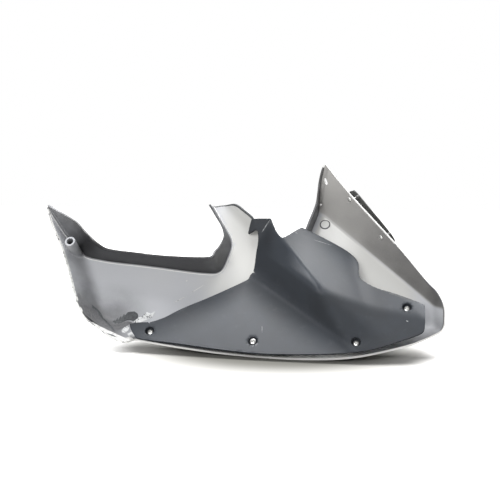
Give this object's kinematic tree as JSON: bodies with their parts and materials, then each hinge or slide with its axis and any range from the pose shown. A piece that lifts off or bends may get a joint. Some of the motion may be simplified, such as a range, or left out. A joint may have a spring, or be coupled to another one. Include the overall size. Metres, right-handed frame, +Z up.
{
  "type": "side fairing panel",
  "caption": "Lower side fairing panel of a motorbike seen with its inner liner: notched tray with mid arm, pointed wing, tail boss, screwed liner panel and a vent trim strip.",
  "frame": {"origin": "centre of the tail boss bore at its mouth", "axes": "+X along the panel from tail to nose, +Z up as installed, +Y out to the show side; the open side of the tray faces -Y and leans back 34 degrees"},
  "size_m": [0.601, 0.1987, 0.2649],
  "materials": {
    "silver_moulding": "silver grey paint over plastic, matt overspray inside",
    "black_moulding": "satin black plastic",
    "trim_black": "matt black plastic",
    "screw_steel": "bright zinc plated steel"
  },
  "bodies": {
    "root": {"outer_panel": "silver_moulding", "inner_panel": "black_moulding", "corner_screw": "screw_steel", "belly_screw": "screw_steel", "front_screw": "screw_steel", "nose_screw": "screw_steel", "vent_trim": "trim_black", "trim_screw_upper": "screw_steel", "trim_screw_lower": "screw_steel"}
  },
  "joints": []
}
